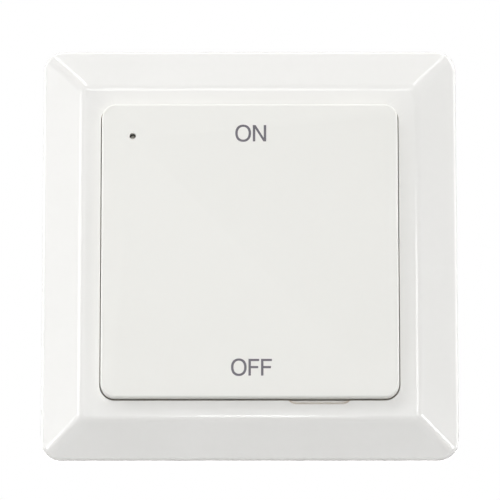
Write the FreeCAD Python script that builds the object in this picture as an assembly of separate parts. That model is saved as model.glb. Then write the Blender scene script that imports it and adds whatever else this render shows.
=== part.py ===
import FreeCAD, Part
import math
import os

# Wireless wall switch: a bevelled frame, a rocker and a battery powered radio module on a base plate.
# It is drawn lying on its back, with the wall at z = 0, depth along +Z, up along +Y and right along +X.
# stand_up() turns each finished piece so that +Z is up, the wall is the plane Y = 0 and the front faces -Y.

# Frame
bevel_width = 8.2
frame_corner = 4.2
frame_wall = 1.8
frame_back_gap = 1.4
shoulder_depth = 4.8
shoulder_round = 1.05
ledge_depth = 7.6
ledge_width = 3.8
ledge_round = 4.4
mitre_round = 5.3
collar_wall = 1.5
collar_depth = 5.2
lip_wall = 0.8
lip_gap = 0.4
frame_rib_wall = 1.0
frame_rib_offset = 22.0

# Snap lugs that hold the frame on the base plate
lug_length = 10.0
lug_reach = 1.0
lug_low = 1.7
lug_high = 2.7
lug_play = 0.2

# Notch in the ledge for prying the rocker off
notch_width = 13.4
notch_corner = 2.05
notch_reach = 0.75
notch_cut = 0.45
notch_slope = 0.35
notch_offset = 14.05

# Rocker
rocker_corner = 2.8
rocker_gap = 0.3
rocker_wall = 1.6
rocker_round = 0.45
rocker_room = 1.4
skirt_wall = 1.6
skirt_length = 2.0
rocker_rib_wall = 0.9
rocker_rib_height = 0.6
rocker_rib_offset = 12.0

# Pivot: pins on the module cover in eyes on the rocker's arms
pin_radius = 1.0
pin_clearance = 0.05
pin_lead = 0.4
pivot_drop = 1.3
arm_wall = 1.9
eye_wall = 1.3
arm_side_gap = 0.5

# Press points, one for ON and one for OFF
press_inset = 5.0
nib_radius = 1.5
nib_chamfer = 0.4
nib_gap = 0.05

# Base plate
base_corner = 2.5
frame_fit_gap = 0.5
frame_seat_gap = 0.25
floor_wall = 1.2
rim_wall = 1.5
base_rib_wall = 1.0
base_rib_height = 1.4
base_rib_offset = 14.0
ring_wall = 1.0
ring_gap = 0.1

# Slotted holes for the wall screws, at the pitch of a wall box
slot_pitch = 60.0
slot_width = 4.2
slot_length = 7.5
slot_chamfer = 0.5

# Module cover
cover_wall = 1.2
cover_roof = 1.0
cover_corner = 2.0
cover_round = 0.6
cover_floor_gap = 0.1
cover_ring_gap = 0.2

# Cover screws and the posts that they go into
post_inset_x = 5.0
post_inset_y = 6.0
post_radius = 2.2
post_shoulder = 0.9
post_gap = 0.15
well_wall = 0.85
screw_radius = 1.0
screw_thread_gap = 0.02
screw_tip_gap = 0.2
screw_head_radius = 1.9
screw_head_height = 1.3
screw_head_chamfer = 0.4
screw_point = 0.5
screw_head_gap = 0.2
screw_slot_width = 0.5
screw_slot_depth = 0.6

# Circuit board, with room for the radio's parts beside the battery holder
parts_width = 27.5
board_lift = 0.9
board_thickness = 0.8
board_edge_gap = 0.3
board_corner = 1.2

# Push switches
switch_side = 6.0
switch_chamfer = 0.4
switch_body_height = 3.0
switch_cavity_radius = 2.4
switch_cavity_depth = 1.4
switch_sheet = 0.25
switch_flap_length = 1.4
switch_flap_width = 3.6
switch_height = 4.3
plunger_radius = 1.7
plunger_flange_radius = 2.15
plunger_chamfer = 0.2
flange_gap = 0.1
plunger_nub_radius = 0.6
plunger_play = 0.05
plunger_travel = 0.25
dome_radius = 2.1
dome_crown_radius = 1.1
dome_rise = 0.4
dome_sheet = 0.1
terminal_width = 0.7
terminal_sheet = 0.2
terminal_reach = 1.5
terminal_rise = 0.9
terminal_pitch = 4.5

# Leaf spring on top of the module cover
spring_sheet = 0.3
spring_gap = 0.2
spring_width = 4.0
spring_overhang = 2.2
spring_slot_gap = 0.6
spring_slot_start = 9.0
spring_tab_length = 6.0
spring_tab_width = 11.0
spring_tab_corner = 1.0
stake_inset = 2.5
stake_pitch = 6.0
stake_radius = 0.9
stake_clearance = 0.1
stake_head_radius = 1.5
stake_head_height = 0.5

# Coin cell and its holder
cell_radius = 10.0
cell_thickness = 3.2
cell_cap_inset = 1.3
cell_cap_height = 0.3
cell_edge = 0.3
cell_gap = 0.15
holder_wall = 0.85
holder_floor = 0.4
holder_height = 3.0
holder_edge_gap = 0.5
holder_window_inset = 3.0
hook_width = 3.0
hook_reach = 1.0
hook_angle = 35.0
hook_thickness = 0.5
hook_gap = 0.05
opening_gap = 0.2
clip_sheet = 0.25
clip_width = 4.0
clip_rise = 2.8
clip_foot = 1.4
clip_gap = 0.05
contact_sheet = 0.15
contact_width = 3.0
contact_foot = 3.0
contact_run = 4.0

# Indicator light
led_inset_x = 6.3
led_inset_y = 6.65
led_length = 2.0
led_width = 1.25
led_height = 0.8
led_chamfer = 0.15
led_hole_radius = 0.65
pipe_radius = 0.8
pipe_chamfer = 0.3
pipe_gap = 0.05
pipe_lift = 0.2
pipe_flange_radius = 1.05
pipe_flange = 0.4
pipe_stand = 0.5

# Parts on the board, each column set in from the cover's left wall
chip_inset = 13.0
chip_y = -6.0
chip_width = 3.9
chip_length = 8.6
chip_height = 1.5
chip_lift = 0.15
chip_chamfer = 0.2
chip_pins_per_side = 7
chip_pin_pitch = 1.27
chip_pin_width = 0.4
chip_pin_sheet = 0.2
chip_pin_reach = 1.05
chip_pin_rise = 0.75
crystal_inset = 13.0
crystal_y = 8.0
crystal_width = 4.4
crystal_length = 10.8
crystal_height = 2.8
crystal_chamfer = 0.3
crystal_flange = 0.3
crystal_flange_height = 0.4
antenna_inset = 4.0
antenna_half_length = 11.0
antenna_rise = 2.4
antenna_wire_radius = 0.4
antenna_bend = 1.3
chip_part_length = 2.0
chip_part_width = 1.25
chip_part_cap = 0.4
chip_part_dip = 0.05
resistor_inset = 7.5
resistor_count = 7
resistor_height = 0.5
capacitor_inset = 18.5
capacitor_count = 4
capacitor_height = 0.9
chip_part_pitch = 3.0

# Depths of the stack, from the wall outwards
board_low = floor_wall + board_lift
board_top = board_low + board_thickness
plunger_top = board_top + switch_height
cover_top = plunger_top + spring_gap
roof_low = cover_top - cover_roof
spring_top = cover_top + spring_sheet
nib_tip = spring_top + nib_gap
pivot_depth = cover_top - pivot_drop
rocker_inner = cover_top + rocker_room
rocker_front = rocker_inner + rocker_wall
skirt_low = rocker_inner - skirt_length
cover_low = floor_wall + cover_floor_gap
screw_seat = cover_top - screw_head_height
screw_tip = floor_wall + screw_tip_gap
post_top = screw_seat - cover_roof - post_gap
cell_low = board_top + holder_floor
switch_top = board_top + switch_body_height
cavity_low = switch_top - switch_cavity_depth
dome_top = cavity_low + dome_rise
flange_low = dome_top + plunger_travel + flange_gap
flange_top = switch_top - plunger_play

# Sides, from the battery and the radio's parts outwards to the frame
holder_radius = cell_radius + cell_gap + holder_wall
cover_inner = (parts_width + 2 * holder_radius + holder_edge_gap) / 2
cover_half = cover_inner + cover_wall
board_side = 2 * (cover_inner - board_edge_gap)
arm_inner = cover_half + arm_side_gap
arm_outer = arm_inner + arm_wall
rocker_side = 2 * (arm_outer + skirt_wall)
window_side = rocker_side + 2 * rocker_gap
ledge_side = window_side + 2 * ledge_width
frame_side = ledge_side + 2 * bevel_width
base_side = frame_side - 2 * (frame_wall + frame_fit_gap)

# Places and radii that follow from those sides
eye_radius = pin_radius + pin_clearance + eye_wall
press_offset = cover_inner - press_inset
post_x = cover_inner - post_inset_x
post_y = cover_inner - post_inset_y
cell_x = cover_inner - holder_edge_gap - holder_radius
cell_cap_radius = cell_radius - cell_cap_inset
holder_window_radius = cell_radius - holder_window_inset
stake_x = stake_inset - spring_width / 2 - spring_tab_length
led_x = led_inset_x - rocker_side / 2
led_y = rocker_side / 2 - led_inset_y
chip_x = chip_inset - cover_inner
crystal_x = crystal_inset - cover_inner
antenna_x = antenna_inset - cover_inner
resistor_x = resistor_inset - cover_inner
capacitor_x = capacitor_inset - cover_inner

# Slope of the bevel and of the frame's underside, which lies one wall below it
bevel_slope = (ledge_depth - shoulder_depth) / bevel_width
bevel_wall = frame_wall * math.hypot(1.0, bevel_slope)
rim_top = shoulder_depth + (frame_side - base_side) / 2 * bevel_slope - bevel_wall - frame_seat_gap


def vector(x, y, z):
    return FreeCAD.Vector(x, y, z)


same_point = 0.000001
slack = 0.001
depth_axis = vector(0, 0, 1)
right_axis = vector(1, 0, 0)


def outline(width, height, corner, depth, x=0.0, y=0.0):
    """A closed rectangle with round corners, centred at x, y, lying at one depth."""
    reach_x = width / 2 - corner
    reach_y = height / 2 - corner
    arcs = []
    for quarter, (side_x, side_y) in enumerate(((1, 1), (-1, 1), (-1, -1), (1, -1))):
        centre = vector(x + side_x * reach_x, y + side_y * reach_y, depth)
        start = quarter * math.pi / 2
        circle = Part.Circle(centre, depth_axis, corner)
        arcs.append(Part.ArcOfCircle(circle, start, start + math.pi / 2))
    edges = []
    for index, arc in enumerate(arcs):
        following = arcs[(index + 1) % len(arcs)]
        edges.append(arc.toShape())
        if arc.EndPoint.distanceToPoint(following.StartPoint) > same_point:
            edges.append(Part.LineSegment(arc.EndPoint, following.StartPoint).toShape())
    return Part.Wire(edges)


def prism(wire, high):
    """The flat outline raised from its own depth up to high."""
    low = wire.BoundBox.ZMin
    return Part.Face(wire).extrude(vector(0, 0, high - low))


def rounded_block(width, height, corner, low, high, x=0.0, y=0.0):
    return prism(outline(width, height, corner, low, x, y), high)


def block(x_low, x_high, y_low, y_high, z_low, z_high):
    return Part.makeBox(x_high - x_low, y_high - y_low, z_high - z_low, vector(x_low, y_low, z_low))


def disc(radius, low, high, x=0.0, y=0.0):
    return Part.makeCylinder(radius, high - low, vector(x, y, low), depth_axis)


def profile(points, direction):
    """A closed outline of straight runs, given as vectors, drawn out along a direction."""
    return Part.Face(Part.makePolygon(points + [points[0]])).extrude(direction)


def edges_between(shape, low, high):
    """The shape's edges that lie wholly between two depths."""
    found = []
    for edge in shape.Edges:
        box = edge.BoundBox
        if box.ZMin > low - slack and box.ZMax < high + slack:
            found.append(edge)
    return found


def turned(shape, degrees, x=0.0, y=0.0):
    """A copy turned about the depth axis through x, y."""
    copy = shape.copy()
    copy.rotate(vector(x, y, 0), depth_axis, degrees)
    return copy


def moved(shape, x, y, z=0.0):
    copy = shape.copy()
    copy.translate(vector(x, y, z))
    return copy


def joined(first, *others):
    return first.fuse(list(others)).removeSplitter()


def stand_up(shape):
    """Turn a piece from lying on its back to standing against the wall."""
    copy = shape.copy()
    copy.rotate(vector(0, 0, 0), right_axis, 90)
    return copy


def square(side, depth):
    """A sharp cornered square outline at one depth."""
    half = side / 2
    corners = [vector(x, y, depth) for x, y in ((half, half), (-half, half), (-half, -half), (half, -half))]
    return Part.makePolygon(corners + [corners[0]])


def bevelled_form(side, corner, shoulder, top, low, mitre, edge):
    """A square block with a flat top and four wide bevels that end in upright sides.

    The bevels are cut back from a sharp pyramid whose mitres, and whose edge round the top, are rounded.
    """
    foot_side = side + 2 * (shoulder - low) / bevel_slope
    top_side = side - 2 * (top - shoulder) / bevel_slope
    pyramid = Part.makeLoft([square(foot_side, low), square(top_side, top)], True, True)
    mitres = [line for line in pyramid.Edges if line.BoundBox.ZLength > slack]
    pyramid = pyramid.makeFillet(mitre, mitres)
    if edge > 0:
        pyramid = pyramid.makeFillet(edge, edges_between(pyramid, top, top))
    return pyramid.common(rounded_block(side, side, corner, low, top))


def on_shoulder(edge):
    """Whether an edge lies where the bevels meet the frame's upright sides."""
    middle = edge.valueAt((edge.FirstParameter + edge.LastParameter) / 2)
    half = frame_side / 2
    reach = max(abs(middle.x), abs(middle.y))
    centre = half - frame_corner
    corner_reach = math.hypot(abs(middle.x) - centre, abs(middle.y) - centre)
    on_side = abs(reach - half) < slack
    on_corner = abs(corner_reach - frame_corner) < slack
    above_back = edge.BoundBox.ZMin > frame_back_gap + slack
    return above_back and (on_side or on_corner)


def frame_outside():
    form = bevelled_form(
        frame_side, frame_corner, shoulder_depth, ledge_depth, frame_back_gap, mitre_round, ledge_round
    )
    return form.makeFillet(shoulder_round, [edge for edge in form.Edges if on_shoulder(edge)])


def frame_inside():
    """The hollow behind the frame's front, one wall inside its upright sides, bevels and ledge."""
    side = frame_side - 2 * frame_wall
    shoulder = shoulder_depth + frame_wall * bevel_slope - bevel_wall
    top = ledge_depth - frame_wall
    corner = frame_corner - frame_wall
    return bevelled_form(side, corner, shoulder, top, frame_back_gap, mitre_round - frame_wall, 0)


def snap_lug():
    """A wedge on the inner wall at +X, flat in front and sloped behind to ride over the base's rim."""
    wall = frame_side / 2 - frame_wall
    tip = wall - lug_reach
    start = -lug_length / 2
    points = [
        vector(wall, start, lug_high),
        vector(tip, start, lug_high),
        vector(tip, start, lug_high - lug_reach / 2),
        vector(wall, start, lug_low),
    ]
    return profile(points, vector(0, lug_length, 0))


def make_frame():
    """The surround, with a lip under the rocker's skirt that closes the gap from behind."""
    outside = frame_outside()
    hollow = frame_inside()
    window = rounded_block(
        window_side, window_side, rocker_corner + rocker_gap, collar_depth, ledge_depth
    )
    collar_side = window_side + 2 * collar_wall
    collar_corner = rocker_corner + rocker_gap + collar_wall
    collar_high = ledge_depth - frame_wall
    lip_low = collar_depth - lip_wall
    collar = rounded_block(collar_side, collar_side, collar_corner, lip_low, collar_high)
    lip_side = 2 * (arm_outer + lip_gap)
    lip_opening = rounded_block(lip_side, lip_side, rocker_corner - skirt_wall, lip_low, collar_depth)
    ribs = []
    for quarter in range(4):
        for offset in (-frame_rib_offset, frame_rib_offset):
            rib = block(
                window_side / 2,
                frame_side / 2 - frame_wall,
                offset - frame_rib_wall / 2,
                offset + frame_rib_wall / 2,
                collar_depth,
                ledge_depth,
            )
            ribs.append(turned(rib.common(hollow), 90 * quarter))
    shell = outside.cut(hollow)
    shell = joined(shell, collar, *ribs).cut([window, lip_opening])
    lugs = [turned(snap_lug(), 90 * quarter) for quarter in range(4)]
    return joined(shell, *lugs).cut(pry_notch())


def pry_notch():
    """A shallow dish cut into the ledge below the rocker, with rounded ends and a sloped wall."""
    low = ledge_depth - notch_cut
    height = 2 * notch_corner + notch_reach
    edge = -window_side / 2
    centre_y = edge - notch_reach + height / 2
    dish = rounded_block(notch_width, height, notch_corner, low, ledge_depth, notch_offset, centre_y)
    dish = dish.makeChamfer(notch_slope, edges_between(dish, low, low))
    keep = block(
        notch_offset - notch_width,
        notch_offset + notch_width,
        edge - 2 * notch_reach,
        edge + rocker_gap,
        low,
        ledge_depth,
    )
    return dish.common(keep)


def rocker_arm():
    """The arm at +X that hangs from the rocker and ends in an eye round the pivot pin."""
    upright = block(arm_inner, arm_outer, -eye_radius, eye_radius, pivot_depth, rocker_inner)
    eye = Part.makeCylinder(eye_radius, arm_wall, vector(arm_inner, 0, pivot_depth), right_axis)
    hole = Part.makeCylinder(
        pin_radius + pin_clearance, arm_wall, vector(arm_inner, 0, pivot_depth), right_axis
    )
    return joined(upright, eye).cut(hole)


def rocker_nib(y):
    """A peg with a bevelled tip that presses one arm of the leaf spring."""
    nib = disc(nib_radius, nib_tip, rocker_inner, 0, y)
    return nib.makeChamfer(nib_chamfer, edges_between(nib, nib_tip, nib_tip))


def make_rocker():
    body = rounded_block(rocker_side, rocker_side, rocker_corner, skirt_low, rocker_front)
    body = body.makeFillet(rocker_round, edges_between(body, rocker_front, rocker_front))
    inner_side = rocker_side - 2 * skirt_wall
    hollow = rounded_block(inner_side, inner_side, rocker_corner - skirt_wall, skirt_low, rocker_inner)
    rib_low = rocker_inner - rocker_rib_height
    half = inner_side / 2
    ribs = []
    for offset in (-rocker_rib_offset, rocker_rib_offset):
        near = offset - rocker_rib_wall / 2
        far = offset + rocker_rib_wall / 2
        ribs.append(block(near, far, -half, half, rib_low, rocker_inner))
        ribs.append(block(-half, half, near, far, rib_low, rocker_inner))
    arms = [rocker_arm(), turned(rocker_arm(), 180)]
    nibs = [rocker_nib(press_offset), rocker_nib(-press_offset)]
    led_hole = disc(led_hole_radius, rib_low, rocker_front, led_x, led_y)
    return joined(body.cut(hollow), *ribs, *arms, *nibs).cut(led_hole)


def base_slot(x):
    """One slotted screw hole with a chamfered front edge."""
    through = rounded_block(slot_length, slot_width, slot_width / 2, 0, floor_wall, x)
    wide = 2 * slot_chamfer
    lower = outline(slot_length, slot_width, slot_width / 2, floor_wall - slot_chamfer, x)
    upper = outline(
        slot_length + wide, slot_width + wide, slot_width / 2 + slot_chamfer, floor_wall, x
    )
    return joined(through, Part.makeLoft([lower, upper], True, True))


def base_post(x, y):
    """A screw post with a shoulder that the circuit board rests on."""
    shoulder = disc(post_radius + post_shoulder, floor_wall, board_low, x, y)
    return joined(shoulder, disc(post_radius, floor_wall, post_top, x, y))


def post_places():
    return [(side_x * post_x, side_y * post_y) for side_x in (-1, 1) for side_y in (-1, 1)]


def make_base_plate():
    body = rounded_block(base_side, base_side, base_corner, 0, rim_top)
    tray_side = base_side - 2 * rim_wall
    body = body.cut(rounded_block(tray_side, tray_side, base_corner - rim_wall, floor_wall, rim_top))
    ring_outer = 2 * (cover_inner - cover_ring_gap)
    ring_inner = ring_outer - 2 * ring_wall
    ring_top = board_low - ring_gap
    ring = rounded_block(ring_outer, ring_outer, board_corner, floor_wall, ring_top)
    ring = ring.cut(rounded_block(ring_inner, ring_inner, board_corner, floor_wall, ring_top))
    ribs = []
    for quarter in range(4):
        for offset in (-base_rib_offset, base_rib_offset):
            rib = block(
                cover_half + arm_side_gap,
                tray_side / 2,
                offset - base_rib_wall / 2,
                offset + base_rib_wall / 2,
                floor_wall,
                floor_wall + base_rib_height,
            )
            ribs.append(turned(rib, 90 * quarter))
    posts = [base_post(x, y) for x, y in post_places()]
    body = joined(body, ring, *ribs, *posts)
    cuts = [base_slot(-slot_pitch / 2), base_slot(slot_pitch / 2)]
    for x, y in post_places():
        cuts.append(disc(screw_radius + screw_thread_gap, floor_wall, post_top, x, y))
    lug_room = lug_length / 2 + lug_play
    for quarter in range(4):
        gap = block(
            tray_side / 2, base_side / 2, -lug_room, lug_room, floor_wall, lug_high + lug_play
        )
        cuts.append(turned(gap, 90 * quarter))
    return body.cut(cuts)


def pivot_pin():
    """The pin on the cover's right side, with a lead that the rocker's arm snaps over."""
    length = arm_side_gap + arm_wall - pin_lead
    pin = Part.makeCylinder(pin_radius, length, vector(cover_half, 0, pivot_depth), right_axis)
    tip = Part.makeCone(
        pin_radius, pin_radius - pin_lead, pin_lead, vector(cover_half + length, 0, pivot_depth), right_axis
    )
    return joined(pin, tip)


def make_module_cover():
    side = 2 * cover_half
    inner = 2 * cover_inner
    body = rounded_block(side, side, cover_corner, cover_low, cover_top)
    body = body.makeFillet(cover_round, edges_between(body, cover_top, cover_top))
    body = body.cut(rounded_block(inner, inner, cover_corner - cover_wall, cover_low, roof_low))
    well_radius = post_radius + post_gap + well_wall
    adds = [pivot_pin(), turned(pivot_pin(), 180)]
    cuts = []
    for x, y in post_places():
        adds.append(disc(well_radius, board_top, roof_low, x, y))
        cuts.append(disc(post_radius + post_gap, board_top, post_top + post_gap, x, y))
        cuts.append(disc(screw_radius + screw_head_gap, board_top, cover_top, x, y))
        cuts.append(disc(screw_head_radius + screw_head_gap, screw_seat, cover_top, x, y))
    for y in (-stake_pitch / 2, stake_pitch / 2):
        adds.append(disc(stake_radius, roof_low, spring_top + spring_gap, stake_x, y))
        head_low = spring_top + nib_gap
        adds.append(disc(stake_head_radius, head_low, head_low + stake_head_height, stake_x, y))
    slot_end = press_offset + spring_overhang + spring_slot_gap
    slot_half = spring_width / 2 + spring_slot_gap
    for turn in (0, 180):
        slot = block(-slot_half, slot_half, spring_slot_start, slot_end, roof_low, cover_top)
        cuts.append(turned(slot, turn))
    cuts.append(disc(holder_radius + opening_gap, roof_low, cover_top, cell_x))
    cuts.append(disc(pipe_radius + pipe_gap, roof_low, cover_top, led_x, led_y))
    return joined(body, *adds).cut(cuts)


def make_leaf_spring():
    length = 2 * (press_offset + spring_overhang)
    round_end = spring_width / 2
    strip = rounded_block(spring_width, length, round_end, cover_top, spring_top)
    tab_length = spring_width + spring_tab_length
    tab_x = -spring_tab_length / 2
    tab = rounded_block(tab_length, spring_tab_width, spring_tab_corner, cover_top, spring_top, tab_x)
    holes = []
    for y in (-stake_pitch / 2, stake_pitch / 2):
        holes.append(disc(stake_radius + stake_clearance, cover_top, spring_top, stake_x, y))
    return joined(strip, tab).cut(holes)


def make_cover_screw(x, y):
    """A slotted pan head screw, its thread drawn plain."""
    shank = disc(screw_radius, screw_tip, screw_seat, x, y)
    shank = shank.makeChamfer(screw_point, edges_between(shank, screw_tip, screw_tip))
    head = disc(screw_head_radius, screw_seat, cover_top, x, y)
    head = head.makeChamfer(screw_head_chamfer, edges_between(head, cover_top, cover_top))
    half = screw_slot_width / 2
    slot = block(
        x - screw_head_radius,
        x + screw_head_radius,
        y - half,
        y + half,
        cover_top - screw_slot_depth,
        cover_top,
    )
    return joined(shank, head).cut(slot)


def make_circuit_board():
    board = rounded_block(board_side, board_side, board_corner, board_low, board_top)
    holes = [disc(post_radius + post_gap, board_low, board_top, x, y) for x, y in post_places()]
    return board.cut(holes)


def make_switch_body(y):
    body = block(
        -switch_side / 2,
        switch_side / 2,
        y - switch_side / 2,
        y + switch_side / 2,
        board_top,
        switch_top,
    )
    upright = [edge for edge in body.Edges if edge.BoundBox.ZLength > switch_chamfer]
    body = body.makeChamfer(switch_chamfer, upright)
    return body.cut(disc(switch_cavity_radius, cavity_low, switch_top, 0, y))


def make_switch_dome(y):
    """A thin snap dome: a flat crown and a sloping skirt whose rim stands on the cavity's floor."""
    points = [
        vector(0, 0, dome_top),
        vector(dome_crown_radius, 0, dome_top),
        vector(dome_radius, 0, cavity_low + dome_sheet),
        vector(dome_radius, 0, cavity_low),
        vector(dome_crown_radius, 0, dome_top - dome_sheet),
        vector(0, 0, dome_top - dome_sheet),
    ]
    half = Part.Face(Part.makePolygon(points + [points[0]]))
    return moved(half.revolve(vector(0, 0, 0), depth_axis, 360), 0, y)


def make_plunger(y):
    flange = disc(plunger_flange_radius, flange_low, flange_top, 0, y)
    nub = disc(plunger_nub_radius, dome_top + plunger_play, flange_low, 0, y)
    stem = disc(plunger_radius, flange_top, plunger_top, 0, y)
    stem = stem.makeChamfer(plunger_chamfer, edges_between(stem, plunger_top, plunger_top))
    return joined(flange, nub, stem)


def make_switch_cover(y):
    """The sheet metal lid of a push switch, with two flaps folded down its sides."""
    half = switch_side / 2
    lid = block(
        -half - switch_sheet, half + switch_sheet, y - half, y + half, switch_top, switch_top + switch_sheet
    )
    flaps = []
    for low in (-half - switch_sheet, half):
        flap = block(
            low,
            low + switch_sheet,
            y - switch_flap_width / 2,
            y + switch_flap_width / 2,
            switch_top - switch_flap_length,
            switch_top,
        )
        flaps.append(flap)
    hole = disc(plunger_radius + plunger_play, switch_top, switch_top + switch_sheet, 0, y)
    return joined(lid, *flaps).cut(hole)


def bent_foot(side, start, reach, rise, sheet, width):
    """A strip that leaves a body at +X or -X, drops to the board and turns outwards."""
    knee = start + reach / 2
    points = [
        vector(start, 0, board_top + rise),
        vector(knee, 0, board_top + rise),
        vector(knee, 0, board_top + sheet),
        vector(start + reach, 0, board_top + sheet),
        vector(start + reach, 0, board_top),
        vector(knee - sheet, 0, board_top),
        vector(knee - sheet, 0, board_top + rise - sheet),
        vector(start, 0, board_top + rise - sheet),
    ]
    strip = moved(profile(points, vector(0, width, 0)), 0, -width / 2)
    return turned(strip, 0 if side > 0 else 180)


def make_switch_terminals(y):
    feet = []
    for side in (-1, 1):
        foot = bent_foot(
            side, switch_side / 2, terminal_reach, terminal_rise, terminal_sheet, terminal_width
        )
        for offset in (-terminal_pitch / 2, terminal_pitch / 2):
            feet.append(moved(foot, 0, y + offset))
    return Part.makeCompound(feet)


def make_coin_cell():
    """A sealed button cell: the small negative cap faces the board and the can faces the front."""
    top = cell_thickness
    points = [
        vector(0, 0, 0),
        vector(cell_cap_radius - cell_edge, 0, 0),
        vector(cell_cap_radius, 0, cell_cap_height),
        vector(cell_radius - cell_edge, 0, cell_cap_height),
        vector(cell_radius, 0, cell_cap_height + cell_edge),
        vector(cell_radius, 0, top - cell_edge),
        vector(cell_radius - cell_edge, 0, top),
        vector(0, 0, top),
    ]
    half = Part.Face(Part.makePolygon(points + [points[0]]))
    cell = half.revolve(vector(0, 0, 0), depth_axis, 360)
    return moved(cell, cell_x, 0, cell_low)


def holder_hook():
    """A hook at the right of the holder that reaches over the edge of the cell."""
    wall_top = board_top + holder_height
    hook_low = cell_low + cell_thickness + hook_gap
    hook_top = hook_low + hook_thickness
    half = hook_width / 2
    outer = cell_x + holder_radius
    post = block(cell_x + cell_radius + cell_gap, outer, -half, half, wall_top - hook_thickness, hook_top)
    nose = block(cell_x + cell_radius - hook_reach, outer, -half, half, hook_low, hook_top)
    return joined(post, nose).common(disc(holder_radius, board_top, hook_top, cell_x))


def make_battery_holder():
    wall_top = board_top + holder_height
    cup = disc(holder_radius, board_top, wall_top, cell_x)
    hollow = disc(cell_radius + cell_gap, cell_low, wall_top, cell_x)
    window = disc(holder_window_radius, board_top, cell_low, cell_x)
    clip_half = clip_width / 2 + cell_gap
    gate_end = cell_x - cell_radius + cell_edge
    clip_gate = block(cell_x - holder_radius, gate_end, -clip_half, clip_half, board_top, wall_top)
    hooks = [turned(holder_hook(), angle, cell_x) for angle in (-hook_angle, hook_angle)]
    return joined(cup.cut([hollow, window, clip_gate]), *hooks)


def make_positive_clip():
    """A bent strip on the board whose tongue bears on the side of the cell's can."""
    face = cell_x - cell_radius - clip_gap
    points = [
        vector(face, 0, board_top),
        vector(face, 0, board_top + clip_rise),
        vector(face - clip_sheet, 0, board_top + clip_rise),
        vector(face - clip_sheet, 0, board_top + clip_sheet),
        vector(face - clip_sheet - clip_foot, 0, board_top + clip_sheet),
        vector(face - clip_sheet - clip_foot, 0, board_top),
    ]
    return moved(profile(points, vector(0, clip_width, 0)), 0, -clip_width / 2)


def make_negative_contact():
    """A flat foot on the board and a tongue that rises to the underside of the cell."""
    rise = holder_floor - clip_gap - contact_sheet
    start = cell_x - contact_run / 2 - contact_foot
    bend = start + contact_foot
    end = bend + contact_run
    points = [
        vector(start, 0, board_top),
        vector(bend, 0, board_top),
        vector(end, 0, board_top + rise),
        vector(end, 0, board_top + rise + contact_sheet),
        vector(bend, 0, board_top + contact_sheet),
        vector(start, 0, board_top + contact_sheet),
    ]
    return moved(profile(points, vector(0, contact_width, 0)), 0, -contact_width / 2)


def make_indicator_led():
    body = block(
        led_x - led_length / 2,
        led_x + led_length / 2,
        led_y - led_width / 2,
        led_y + led_width / 2,
        board_top,
        board_top + led_height,
    )
    return body.makeChamfer(led_chamfer, edges_between(body, board_top + led_height, board_top + led_height))


def make_light_pipe():
    """A clear rod that hangs in the cover by its flange, between the light and the rocker's hole."""
    low = board_top + led_height + pipe_lift
    high = cover_top + pipe_stand
    rod = disc(pipe_radius, low, high, led_x, led_y)
    rod = rod.makeChamfer(pipe_chamfer, edges_between(rod, high, high))
    flange = disc(pipe_flange_radius, roof_low - pipe_flange, roof_low, led_x, led_y)
    return joined(rod, flange)


def make_encoder_chip():
    low = board_top + chip_lift
    body = block(
        chip_x - chip_width / 2,
        chip_x + chip_width / 2,
        chip_y - chip_length / 2,
        chip_y + chip_length / 2,
        low,
        low + chip_height,
    )
    return body.makeChamfer(chip_chamfer, edges_between(body, low + chip_height, low + chip_height))


def make_encoder_chip_pins():
    pins = []
    for side in (-1, 1):
        pin = bent_foot(
            side, chip_width / 2, chip_pin_reach, chip_pin_rise, chip_pin_sheet, chip_pin_width
        )
        for index in range(chip_pins_per_side):
            offset = (index - (chip_pins_per_side - 1) / 2) * chip_pin_pitch
            pins.append(moved(pin, chip_x, chip_y + offset))
    return Part.makeCompound(pins)


def make_crystal():
    """An oval metal can with a thin flange round its foot."""
    flange_width = crystal_width + 2 * crystal_flange
    flange_length = crystal_length + 2 * crystal_flange
    step = board_top + crystal_flange_height
    top = board_top + crystal_height
    flange = rounded_block(
        flange_width, flange_length, flange_width / 2, board_top, step, crystal_x, crystal_y
    )
    can = rounded_block(crystal_width, crystal_length, crystal_width / 2, step, top, crystal_x, crystal_y)
    can = can.makeChamfer(crystal_chamfer, edges_between(can, top, top))
    return joined(flange, can)


def make_loop_antenna():
    """One loop of stiff wire that stands on the board on two legs."""
    top = board_top + antenna_rise
    knee = top - antenna_bend
    reach = antenna_half_length - antenna_bend
    start = vector(antenna_x, -reach, top)
    wire = Part.makeCylinder(antenna_wire_radius, 2 * reach, start, vector(0, 1, 0))
    ends = []
    for side in (-1, 1):
        leg = disc(antenna_wire_radius, board_top, knee, antenna_x, side * antenna_half_length)
        bend_start = vector(antenna_x, side * antenna_half_length, knee)
        section = Part.Wire(Part.Circle(bend_start, depth_axis, antenna_wire_radius).toShape())
        bend = Part.Face(section).revolve(vector(antenna_x, side * reach, knee), right_axis, side * 90)
        ends += [leg, bend]
    return joined(wire, *ends)


def chip_parts(x, count, height):
    """A column of small chip parts, each with a soldered cap that stands proud at either end."""
    parts = []
    half = chip_part_length / 2
    width = chip_part_width / 2
    top = board_top + height
    for index in range(count):
        y = (index - (count - 1) / 2) * chip_part_pitch
        body = block(x - half, x + half, y - width, y + width, board_top, top)
        waist_end = half - chip_part_cap
        waist = block(x - waist_end, x + waist_end, y - width, y + width, top - chip_part_dip, top)
        parts.append(body.cut(waist))
    return Part.makeCompound(parts)


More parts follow.
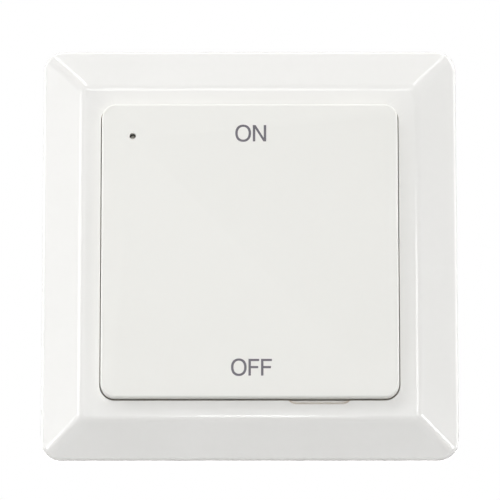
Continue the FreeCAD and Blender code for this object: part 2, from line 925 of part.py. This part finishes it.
def make_pieces():
    """Every piece by its name."""
    pieces = {
        "frame": make_frame(),
        "rocker": make_rocker(),
        "base_plate": make_base_plate(),
        "module_cover": make_module_cover(),
        "cover_screws": Part.makeCompound([make_cover_screw(x, y) for x, y in post_places()]),
        "leaf_spring": make_leaf_spring(),
        "circuit_board": make_circuit_board(),
        "coin_cell": make_coin_cell(),
        "battery_holder": make_battery_holder(),
        "battery_positive_clip": make_positive_clip(),
        "battery_negative_contact": make_negative_contact(),
        "indicator_led": make_indicator_led(),
        "light_pipe": make_light_pipe(),
        "encoder_chip": make_encoder_chip(),
        "encoder_chip_pins": make_encoder_chip_pins(),
        "crystal": make_crystal(),
        "loop_antenna": make_loop_antenna(),
        "chip_resistors": chip_parts(resistor_x, resistor_count, resistor_height),
        "chip_capacitors": chip_parts(capacitor_x, capacitor_count, capacitor_height),
    }
    for name, y in (("on", press_offset), ("off", -press_offset)):
        pieces[name + "_switch_body"] = make_switch_body(y)
        pieces[name + "_switch_dome"] = make_switch_dome(y)
        pieces[name + "_switch_plunger"] = make_plunger(y)
        pieces[name + "_switch_cover"] = make_switch_cover(y)
        pieces[name + "_switch_terminals"] = make_switch_terminals(y)
    return pieces


os.makedirs("parts", exist_ok=True)
for name, shape in make_pieces().items():
    piece = stand_up(shape)
    piece.exportStep("parts/" + name + ".step")
    print(name, "solids", len(piece.Solids), "volume", round(piece.Volume, 2), "valid", piece.isValid())
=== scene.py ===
import math

import bmesh
import bpy
from mathutils import Euler, Matrix, Vector


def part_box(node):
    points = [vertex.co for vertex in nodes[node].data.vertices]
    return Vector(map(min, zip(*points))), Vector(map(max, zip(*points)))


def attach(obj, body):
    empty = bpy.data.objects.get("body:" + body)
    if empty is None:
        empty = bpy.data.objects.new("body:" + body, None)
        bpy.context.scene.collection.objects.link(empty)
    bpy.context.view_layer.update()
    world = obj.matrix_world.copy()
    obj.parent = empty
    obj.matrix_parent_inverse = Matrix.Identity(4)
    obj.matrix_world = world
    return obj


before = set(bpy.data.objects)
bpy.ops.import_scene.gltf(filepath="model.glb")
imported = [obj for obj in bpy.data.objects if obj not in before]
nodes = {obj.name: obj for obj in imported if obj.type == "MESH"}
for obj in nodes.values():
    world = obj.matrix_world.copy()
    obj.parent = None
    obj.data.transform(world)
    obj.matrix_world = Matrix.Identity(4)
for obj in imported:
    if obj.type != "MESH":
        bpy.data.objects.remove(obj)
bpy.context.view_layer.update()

MM = 0.001


# Shading helpers

NOISE_LOW, NOISE_HIGH = 0.3, 0.7            # where most of a noise's values lie
FLAT_POINTINESS, SHARP_POINTINESS = 0.5, 0.58
SHUT_SHARE = 0.08                           # open share at which a gap counts as fully narrow
PLASTIC_SPECULAR = 0.5
CLOUD_MM, FLECK_MM, GLOSS_PATCH_MM = 22.0, 1.3, 9.0
STREAK_MM, METAL_PATCH_MM = 0.25, 3.0


class Shader:
    """One procedural material, built node by node."""

    def __init__(self, name):
        self.material = bpy.data.materials.new(name)
        self.material.use_nodes = True
        self.tree = self.material.node_tree
        self.tree.nodes.clear()
        self.output = self.tree.nodes.new("ShaderNodeOutputMaterial")
        self.place = self.tree.nodes.new("ShaderNodeTexCoord").outputs["Object"]

    def node(self, kind, **settings):
        made = self.tree.nodes.new("ShaderNode" + kind)
        for key, value in settings.items():
            setattr(made, key, value)
        return made

    def link(self, source, target):
        self.tree.links.new(source, target)

    def stretched(self, scale):
        """The object's own coordinates, stretched by a factor on each axis."""
        mapping = self.node("Mapping")
        mapping.inputs["Scale"].default_value = scale
        self.link(self.place, mapping.inputs["Vector"])
        return mapping.outputs["Vector"]

    def noise(self, size_mm, detail=2.0, rough=0.5, stretch=None):
        """Noise whose blotches are about size_mm across."""
        made = self.node("TexNoise")
        made.inputs["Scale"].default_value = 1.0 / (size_mm * MM)
        made.inputs["Detail"].default_value = detail
        made.inputs["Roughness"].default_value = rough
        self.link(self.stretched(stretch) if stretch else self.place, made.inputs["Vector"])
        return made.outputs["Fac"]

    def spread(self, value, low, high):
        """A value from the middle of a noise's range, mapped to low and high."""
        made = self.node("MapRange")
        made.inputs["From Min"].default_value = NOISE_LOW
        made.inputs["From Max"].default_value = NOISE_HIGH
        made.inputs["To Min"].default_value = low
        made.inputs["To Max"].default_value = high
        self.link(value, made.inputs["Value"])
        return made.outputs["Result"]

    def mix(self, share, first, second):
        made = self.node("Mix", data_type="RGBA")
        for socket, value in ((made.inputs[0], share), (made.inputs[6], first), (made.inputs[7], second)):
            if isinstance(value, bpy.types.NodeSocket):
                self.link(value, socket)
            elif isinstance(value, tuple):
                socket.default_value = (*value, 1.0)
            else:
                socket.default_value = value
        return made.outputs[2]

    def edges(self):
        """One on sharp outer edges and nought on flats and in hollows."""
        pointed = self.node("NewGeometry").outputs["Pointiness"]
        made = self.node("MapRange")
        made.inputs["From Min"].default_value = FLAT_POINTINESS
        made.inputs["From Max"].default_value = SHARP_POINTINESS
        self.link(pointed, made.inputs["Value"])
        return made.outputs["Result"]

    def narrow(self, reach_mm, open_share):
        """One deep in narrow gaps, and nought where more than open_share is open within reach_mm."""
        shut = self.node("AmbientOcclusion", samples=8)
        shut.inputs["Distance"].default_value = reach_mm * MM
        made = self.node("MapRange")
        made.inputs["From Min"].default_value = open_share
        made.inputs["From Max"].default_value = SHUT_SHARE
        self.link(shut.outputs["AO"], made.inputs["Value"])
        return made.outputs["Result"]

    def bump(self, layers):
        """Stacked bumps, each a height, its depth in millimetres and its strength."""
        normal = None
        for height, depth, strength in layers:
            made = self.node("Bump")
            made.inputs["Strength"].default_value = strength
            made.inputs["Distance"].default_value = depth * MM
            self.link(height, made.inputs["Height"])
            if normal:
                self.link(normal, made.inputs["Normal"])
            normal = made.outputs["Normal"]
        return normal

    def principled(self, colour, roughness, normal=None, **sockets):
        made = self.node("BsdfPrincipled")
        for name, value in (("Base Color", colour), ("Roughness", roughness), ("Normal", normal)):
            if isinstance(value, bpy.types.NodeSocket):
                self.link(value, made.inputs[name])
            elif isinstance(value, tuple):
                made.inputs[name].default_value = (*value, 1.0)
            elif value is not None:
                made.inputs[name].default_value = value
        for name, value in sockets.items():
            socket = made.inputs[name.replace("_", " ")]
            if isinstance(value, bpy.types.NodeSocket):
                self.link(value, socket)
            else:
                socket.default_value = value
        self.link(made.outputs["BSDF"], self.output.inputs["Surface"])
        return self.material


def moulded(name, low, high, gloss, grain_mm, grain_depth, edge_tone=1.03, gap_shade=None):
    """Injection moulded plastic: slight clouding, a fine skin, gloss that varies in patches, paler edges.

    Where a gap shade is given, as tone, reach and open share, narrow gaps lose their gloss and are painted
    with that warmer, darker tone: painted shade that stands in for the dim light which has passed between
    the plastic walls.
    """
    s = Shader(name)
    cloud = s.noise(CLOUD_MM, detail=3.0)
    fleck = s.noise(FLECK_MM)
    base = s.mix(s.spread(cloud, 0.0, 1.0), low, high)
    tinted = s.mix(s.spread(fleck, 0.0, 0.25), base, tuple(c * 0.985 for c in low))
    pale = tuple(min(1.0, c * edge_tone) for c in high)
    colour = s.mix(s.edges(), tinted, pale)
    sockets = {}
    if gap_shade:
        tone, reach_mm, open_share = gap_shade
        # Painted shade: an ambient-occlusion mask darkens and warms the colour deep in narrow gaps, where
        # shade falls, and takes their gloss away.
        shut = s.narrow(reach_mm, open_share)
        colour = s.mix(shut, colour, tone)
        gloss_share = s.node("MapRange")
        gloss_share.inputs["To Min"].default_value = PLASTIC_SPECULAR
        gloss_share.inputs["To Max"].default_value = 0.0
        s.link(shut, gloss_share.inputs["Value"])
        sockets["Specular_IOR_Level"] = gloss_share.outputs["Result"]
    roughness = s.spread(s.noise(GLOSS_PATCH_MM, detail=4.0, rough=0.6), *gloss)
    grain = s.noise(grain_mm, detail=3.0, rough=0.6)
    normal = s.bump([(grain, grain_depth, 0.6)])
    return s.principled(colour, roughness, normal, **sockets)


def metal(name, low, high, gloss, brush):
    """Sheet or turned metal with brushed or rolled streaks, dulled in patches and bright on its edges."""
    s = Shader(name)
    streak = s.noise(STREAK_MM, detail=4.0, rough=0.6, stretch=brush)
    patch = s.noise(METAL_PATCH_MM, detail=3.0)
    base = s.mix(s.spread(streak, 0.0, 1.0), low, high)
    dulled = s.mix(s.spread(patch, 0.0, 0.4), base, low)
    bright = tuple(min(1.0, c * 1.1) for c in high)
    colour = s.mix(s.edges(), dulled, bright)
    roughness = s.spread(patch, *gloss)
    normal = s.bump([(streak, 0.02, 0.35)])
    return s.principled(colour, roughness, normal, Metallic=1.0)


def board():
    """Glass laminate under green solder resist, with the weave and copper areas showing faintly."""
    s = Shader("board_laminate")
    weave_x = s.node("TexWave", wave_type="BANDS", bands_direction="X")
    weave_z = s.node("TexWave", wave_type="BANDS", bands_direction="Z")
    for wave in (weave_x, weave_z):
        wave.inputs["Scale"].default_value = 420.0
        wave.inputs["Distortion"].default_value = 0.6
        s.link(s.place, wave.inputs["Vector"])
    copper = s.node("TexBrick")
    copper.inputs["Scale"].default_value = 210.0
    copper.inputs["Color1"].default_value = (1, 1, 1, 1)
    copper.inputs["Color2"].default_value = (0, 0, 0, 1)
    copper.inputs["Mortar"].default_value = (0.4, 0.4, 0.4, 1)
    turn = s.node("Mapping")
    turn.inputs["Rotation"].default_value = (math.radians(90), 0, 0)
    s.link(s.place, turn.inputs["Vector"])
    s.link(turn.outputs["Vector"], copper.inputs["Vector"])
    base = s.mix(copper.outputs["Color"], (0.012, 0.105, 0.045), (0.02, 0.17, 0.07))
    woven = s.mix(s.spread(weave_x.outputs["Fac"], 0.0, 0.25), base, (0.03, 0.2, 0.09))
    colour = s.mix(s.edges(), woven, (0.25, 0.24, 0.12))
    normal = s.bump([(weave_x.outputs["Fac"], 0.01, 0.3), (weave_z.outputs["Fac"], 0.01, 0.3)])
    return s.principled(colour, s.spread(s.noise(4.0), 0.22, 0.38), normal)


def clear(name, tint, rough, through):
    """Clear or milky resin with faint flow marks."""
    s = Shader(name)
    flow = s.noise(2.0)
    colour = s.mix(s.spread(flow, 0.0, 1.0), tint, tuple(c * 0.94 for c in tint))
    normal = s.bump([(s.noise(0.6), 0.01, 0.2)])
    roughness = s.spread(flow, rough, rough + 0.12)
    return s.principled(colour, roughness, normal, Transmission_Weight=through, IOR=1.5)


def ink():
    """Pad printed ink: dark grey, thinner and rougher in specks."""
    s = Shader("lettering_ink")
    speck = s.noise(0.18, detail=3.0, rough=0.7)
    cloud = s.noise(1.6)
    base = s.mix(s.spread(cloud, 0.0, 1.0), (0.098, 0.088, 0.108), (0.132, 0.120, 0.142))
    colour = s.mix(s.spread(speck, 0.0, 0.3), base, (0.19, 0.18, 0.2))
    return s.principled(colour, s.spread(speck, 0.42, 0.6), s.bump([(speck, 0.008, 0.4)]))


def ceramic(name, low, high):
    """Fired ceramic with a fine grain, for chip parts."""
    s = Shader(name)
    grain = s.noise(0.3, detail=3.0)
    colour = s.mix(s.spread(grain, 0.0, 1.0), low, high)
    return s.principled(colour, s.spread(grain, 0.3, 0.5), s.bump([(grain, 0.01, 0.3)]), Metallic=0.1)


# Painted shade in deep gaps of the pale plastic: tone, reach in millimetres, open share
FRAME_GAP_SHADE = ((0.46, 0.30, 0.13), 2.0, 0.48)
ROCKER_GAP_SHADE = ((0.74, 0.64, 0.48), 1.0, 0.28)

# Plastics: darker and paler tone, roughness range, grain and its depth in millimetres
PLASTICS = {
    "frame_plastic": ((0.853, 0.848, 0.826), (0.871, 0.866, 0.846), (0.10, 0.15), 0.35, 0.0004),
    "rocker_plastic": ((0.815, 0.811, 0.775), (0.829, 0.825, 0.791), (0.30, 0.38), 0.16, 0.008),
    "base_plastic": ((0.74, 0.74, 0.72), (0.78, 0.78, 0.76), (0.42, 0.55), 0.2, 0.02),
    "cover_plastic": ((0.78, 0.78, 0.76), (0.82, 0.82, 0.80), (0.38, 0.52), 0.2, 0.02),
    "plunger_plastic": ((0.55, 0.04, 0.03), (0.66, 0.07, 0.05), (0.3, 0.42), 0.2, 0.01),
    "holder_plastic": ((0.018, 0.018, 0.02), (0.032, 0.032, 0.035), (0.4, 0.55), 0.15, 0.02),
    "chip_plastic": ((0.012, 0.012, 0.013), (0.024, 0.024, 0.025), (0.5, 0.65), 0.1, 0.015),
}
PLASTIC_EXTRAS = {
    # The frame and rocker get painted shade in their narrow gaps.
    "frame_plastic": {"gap_shade": FRAME_GAP_SHADE},
    "rocker_plastic": {"gap_shade": ROCKER_GAP_SHADE},
    "holder_plastic": {"edge_tone": 1.6},
    "chip_plastic": {"edge_tone": 1.8},
}

# Metals: darker and paler tone, roughness range, stretch of the brushing along x, y and z
METALS = {
    "screw_steel": ((0.50, 0.50, 0.49), (0.66, 0.66, 0.65), (0.2, 0.36), (1, 1, 1)),
    "spring_steel": ((0.45, 0.45, 0.44), (0.62, 0.62, 0.61), (0.22, 0.36), (6, 1, 0.4)),
    "cell_steel": ((0.55, 0.55, 0.54), (0.70, 0.70, 0.69), (0.16, 0.30), (0.5, 1, 5)),
    "contact_metal": ((0.60, 0.58, 0.52), (0.76, 0.74, 0.68), (0.2, 0.34), (1, 1, 4)),
    "can_metal": ((0.58, 0.57, 0.54), (0.72, 0.71, 0.68), (0.18, 0.3), (4, 1, 0.6)),
    "antenna_wire": ((0.62, 0.30, 0.14), (0.80, 0.43, 0.22), (0.16, 0.28), (3, 3, 0.5)),
}

MATERIALS = {
    name: moulded(name, *values, **PLASTIC_EXTRAS.get(name, {}))
    for name, values in PLASTICS.items()
}
MATERIALS.update((name, metal(name, *values)) for name, values in METALS.items())
MATERIALS["board_laminate"] = board()
MATERIALS["led_resin"] = clear("led_resin", (0.90, 0.86, 0.60), 0.15, 0.55)
MATERIALS["clear_plastic"] = clear("clear_plastic", (0.95, 0.90, 0.80), 0.25, 0.10)
MATERIALS["resistor_ceramic"] = ceramic("resistor_ceramic", (0.03, 0.03, 0.032), (0.06, 0.06, 0.065))
MATERIALS["capacitor_ceramic"] = ceramic("capacitor_ceramic", (0.42, 0.30, 0.18), (0.52, 0.38, 0.24))
MATERIALS["lettering_ink"] = ink()

for node in nodes.values():
    for material_slot in node.material_slots:
        wanted = material_slot.material.name.split(".")[0]
        material_slot.material = MATERIALS[wanted]


# Lettering on the rocker, as thin printed shapes

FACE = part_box("rocker")[0].y
INK_PROUD = 0.010 * MM
INK_SUNK = 0.010 * MM
CAP = 3.40 * MM
STROKE = 0.49 * MM
BAR = 0.45 * MM
OVERSHOOT = 0.08 * MM


def slab(name, outer, inner=None):
    """A thin printed shape from an outline in x, z, with a hole where inner is given."""
    mesh = bmesh.new()
    front = FACE - INK_PROUD
    back = FACE + INK_SUNK

    def ring(points, y):
        return [mesh.verts.new((x, y, z)) for x, z in points]

    def walls(near, far):
        count = len(near)
        for i in range(count):
            j = (i + 1) % count
            mesh.faces.new((near[i], near[j], far[j], far[i]))

    near, far = ring(outer, front), ring(outer, back)
    walls(near, far)
    if inner:
        near_in, far_in = ring(inner, front), ring(inner, back)
        walls(list(reversed(near_in)), list(reversed(far_in)))
        count = len(outer)
        for i in range(count):
            j = (i + 1) % count
            mesh.faces.new((near[i], near_in[i], near_in[j], near[j]))
            mesh.faces.new((far[i], far[j], far_in[j], far_in[i]))
    else:
        mesh.faces.new(list(reversed(near)))
        mesh.faces.new(far)
    bmesh.ops.recalc_face_normals(mesh, faces=mesh.faces)
    data = bpy.data.meshes.new(name)
    mesh.to_mesh(data)
    mesh.free()
    piece = bpy.data.objects.new(name, data)
    bpy.context.scene.collection.objects.link(piece)
    piece.data.materials.append(MATERIALS["lettering_ink"])
    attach(piece, "rocker")
    return piece


def oval(centre_x, centre_z, half_x, half_z, power, count=72):
    """A closed round outline, squarer than an ellipse where power is above two."""
    points = []
    for i in range(count):
        angle = 2 * math.pi * i / count
        c, s = math.cos(angle), math.sin(angle)
        x = math.copysign(abs(c) ** (2 / power), c)
        z = math.copysign(abs(s) ** (2 / power), s)
        points.append((centre_x + half_x * x, centre_z + half_z * z))
    return points


def letter_o(name, left, right, base):
    centre_x = (left + right) / 2
    centre_z = base + CAP / 2
    half_x = (right - left) / 2
    half_z = CAP / 2 + OVERSHOOT
    outer = oval(centre_x, centre_z, half_x, half_z, power=2.25)
    inner = oval(centre_x, centre_z, half_x - STROKE, half_z - BAR, power=2.2)
    return slab(name, outer, inner)


def letter_n(name, left, right, base):
    top = base + CAP
    diagonal = 0.57 * MM
    notch = 1.28 * diagonal
    outline = [
        (left, base), (left + STROKE, base), (left + STROKE, top - notch),
        (right - diagonal, base), (right, base), (right, top), (right - STROKE, top),
        (right - STROKE, base + notch), (left + diagonal, top), (left, top),
    ]
    return slab(name, outline)


def letter_f(name, left, right, base):
    top = base + CAP
    middle_top = top - 1.46 * MM
    middle_right = right - 0.19 * MM
    outline = [
        (left, base), (left + STROKE, base), (left + STROKE, middle_top - BAR),
        (middle_right, middle_top - BAR), (middle_right, middle_top), (left + STROKE, middle_top),
        (left + STROKE, top - BAR), (right, top - BAR), (right, top), (left, top),
    ]
    return slab(name, outline)


ON_HEIGHT = 24.12
OFF_HEIGHT = -24.07

# Each letter: its shape, name, left and right edge and the height of its middle, in millimetres
for letter, name, left, right, middle in (
    (letter_o, "letter_on_o", -2.95, 0.26, ON_HEIGHT),
    (letter_n, "letter_on_n", 0.63, 3.35, ON_HEIGHT),
    (letter_o, "letter_off_o", -3.80, -0.66, OFF_HEIGHT),
    (letter_f, "letter_off_f1", -0.28, 1.88, OFF_HEIGHT),
    (letter_f, "letter_off_f2", 2.26, 4.46, OFF_HEIGHT),
):
    letter(name, left * MM, right * MM, middle * MM - CAP / 2)


# Stage: a pale floor well below, and a white surround that only the eye and reflections see

def make_floor():
    """Pale paper that keeps shadows, shows nearly white to the eye and is open when seen from below."""
    half = 1.6
    depth = -0.30
    own_glow = 0.72
    mesh = bmesh.new()
    outline = ((-half, -half), (half, -half), (half, half), (-half, half))
    mesh.faces.new([mesh.verts.new((x, y, depth)) for x, y in outline])
    data = bpy.data.meshes.new("floor")
    mesh.to_mesh(data)
    mesh.free()
    floor = bpy.data.objects.new("floor", data)
    bpy.context.scene.collection.objects.link(floor)
    s = Shader("floor_paper")
    cloud = s.noise(300.0)
    surface = s.node("BsdfDiffuse")
    s.link(s.mix(s.spread(cloud, 0.0, 1.0), (0.50, 0.50, 0.50), (0.54, 0.54, 0.54)), surface.inputs["Color"])
    glow = s.node("Emission")
    glow.inputs["Color"].default_value = (1, 1, 1, 1)
    seen = s.node("LightPath").outputs["Is Camera Ray"]
    share = s.node("Math", operation="MULTIPLY")
    share.inputs[1].default_value = own_glow
    s.link(seen, share.inputs[0])
    both = s.node("MixShader")
    s.link(share.outputs["Value"], both.inputs["Fac"])
    s.link(surface.outputs["BSDF"], both.inputs[1])
    s.link(glow.outputs["Emission"], both.inputs[2])
    from_below = s.node("MixShader")
    s.link(s.node("NewGeometry").outputs["Backfacing"], from_below.inputs["Fac"])
    s.link(both.outputs["Shader"], from_below.inputs[1])
    s.link(s.node("BsdfTransparent").outputs["BSDF"], from_below.inputs[2])
    s.link(from_below.outputs["Shader"], s.output.inputs["Surface"])
    floor.data.materials.append(s.material)


def make_world(below, above):
    """Soft light that is weaker from below, and plain white for the eye and for reflections."""
    world = bpy.data.worlds.new("studio")
    bpy.context.scene.world = world
    world.use_nodes = True
    tree = world.node_tree
    tree.nodes.clear()

    def node(kind):
        return tree.nodes.new("ShaderNode" + kind)

    path = node("LightPath")
    seen = path.outputs["Is Camera Ray"]
    for ray in ("Is Glossy Ray", "Is Transmission Ray"):
        either = node("Math")
        either.operation = "MAXIMUM"
        tree.links.new(seen, either.inputs[0])
        tree.links.new(path.outputs[ray], either.inputs[1])
        seen = either.outputs[0]
    split = node("SeparateXYZ")
    tree.links.new(node("TexCoord").outputs["Generated"], split.inputs[0])
    level = node("MapRange")
    level.inputs["From Min"].default_value = -1.0
    level.inputs["From Max"].default_value = 1.0
    level.inputs["To Min"].default_value = below
    level.inputs["To Max"].default_value = above
    tree.links.new(split.outputs["Z"], level.inputs["Value"])
    soft = node("Background")
    tree.links.new(level.outputs["Result"], soft.inputs["Strength"])
    white = node("Background")
    white.inputs["Color"].default_value = (1, 1, 1, 1)
    both = node("MixShader")
    tree.links.new(seen, both.inputs["Fac"])
    tree.links.new(soft.outputs[0], both.inputs[1])
    tree.links.new(white.outputs[0], both.inputs[2])
    tree.links.new(both.outputs[0], node("OutputWorld").inputs["Surface"])


def area_light(name, towards, distance, width, height, power):
    """A softbox in the given direction from the switch, facing it, which the camera doesn't see."""
    data = bpy.data.lights.new(name, "AREA")
    data.shape = "RECTANGLE"
    data.size = width
    data.size_y = height
    data.energy = power
    light = bpy.data.objects.new(name, data)
    bpy.context.scene.collection.objects.link(light)
    direction = Vector(towards).normalized()
    light.location = direction * distance
    light.rotation_euler = direction.to_track_quat("Z", "Y").to_euler()
    light.visible_camera = False
    return light


def lamp(name, towards, distance, side, power):
    """A square softbox that lights the switch and isn't mirrored in its gloss."""
    area_light(name, towards, distance, side, side, power).visible_glossy = False


def panel(name, azimuth, elevation, width, height, radiance, distance=1.2):
    """A softbox that only gloss shows, placed and sized in degrees as seen from the switch."""
    across = 2 * distance * math.tan(math.radians(width / 2))
    upright = 2 * distance * math.tan(math.radians(height / 2))
    turn, lift = math.radians(azimuth), math.radians(elevation)
    towards = (math.sin(turn) * math.cos(lift), -math.cos(turn) * math.cos(lift), math.sin(lift))
    power = radiance * math.pi * across * upright
    area_light(name, towards, distance, across, upright, power).visible_diffuse = False


# Name, direction from the switch, distance and side in metres, watts
LAMPS = (
    ("top_left", (-0.40, -0.60, 0.50), 2.5, 0.9, 13.4),
    ("left", (-0.95, -0.28, 0.10), 1.5, 0.9, 8.6),
    ("over", (0.0, -0.12, 1.0), 2.0, 1.2, 19.8),
    ("side", (0.95, -0.12, 0.05), 0.9, 0.5, 4.0),
    ("front", (0.0, -1.0, 0.05), 2.5, 1.2, 14.0),
    ("back", (0.10, 1.0, 0.15), 0.9, 0.5, 2.2),
)

# Name, azimuth and elevation (azimuth 0 is in front, 90 on the right), width, height, radiance, and the
# distance in metres where the panel has to stay above the floor
PANELS = (
    ("rim_right", 83, 5, 48, 50, 3.3),
    ("rim_left", -95, 5, 64, 50, 2.6),
    ("rim_top", 0, 84, 50, 50, 1.4),
    ("rim_low", 0, -43, 60, 9, 3.0, 0.35),
    ("rim_back", 180, -32, 70, 64, 4.0, 0.28),
    ("soft_left", -39, 7, 22, 22, 1.9),
    ("line_left", -31, 9, 12, 10, 3.5),
    ("band_left", -13.5, 9, 8, 10, 1.9),
    ("line_top", 0, 22.8, 14, 9, 4.2),
    ("line_right", 16.5, 6.8, 4, 6.8, 10.0),
    ("rocker_right", 58, 30, 18, 28, 9.0),
    ("line_low", 0, -0.6, 3.2, 4, 32.0),
    ("sheen_low", 0, 4.4, 14, 3, 1.1),
    ("mitre_left", -12.5, 43.5, 5, 5, 8.0),
    ("mitre_right", 12.5, 43.5, 4, 4, 8.0),
    ("mitre_low_left", -35.5, 2, 6, 6, 9.0),
    ("mitre_low_right", 36, 1.5, 6.5, 6.5, 12.0),
)

make_floor()
make_world(below=0.06, above=0.34)
for values in LAMPS:
    lamp(*values)
for values in PANELS:
    panel(*values)


# Camera, a little below the switch and looking slightly up

def make_camera():
    data = bpy.data.cameras.new("camera")
    data.sensor_fit = "AUTO"
    data.sensor_width = 36.0
    focal_px = 3639.8
    photo_px = 500.0
    data.lens = focal_px * data.sensor_width / photo_px
    data.clip_start = 0.01
    data.clip_end = 20.0
    camera = bpy.data.objects.new("camera", data)
    bpy.context.scene.collection.objects.link(camera)
    distance = 749.6 * MM
    below = math.radians(9.392)
    pitch = math.radians(9.519)
    roll = math.radians(-0.026)
    camera.location = (0.04 * MM, -distance * math.cos(below), -distance * math.sin(below))
    turn = Euler((math.pi / 2 + pitch, 0, 0)).to_matrix() @ Matrix.Rotation(roll, 3, "Z")
    camera.rotation_euler = turn.to_euler()
    bpy.context.scene.camera = camera


make_camera()
bpy.context.scene.view_settings.view_transform = "Standard"
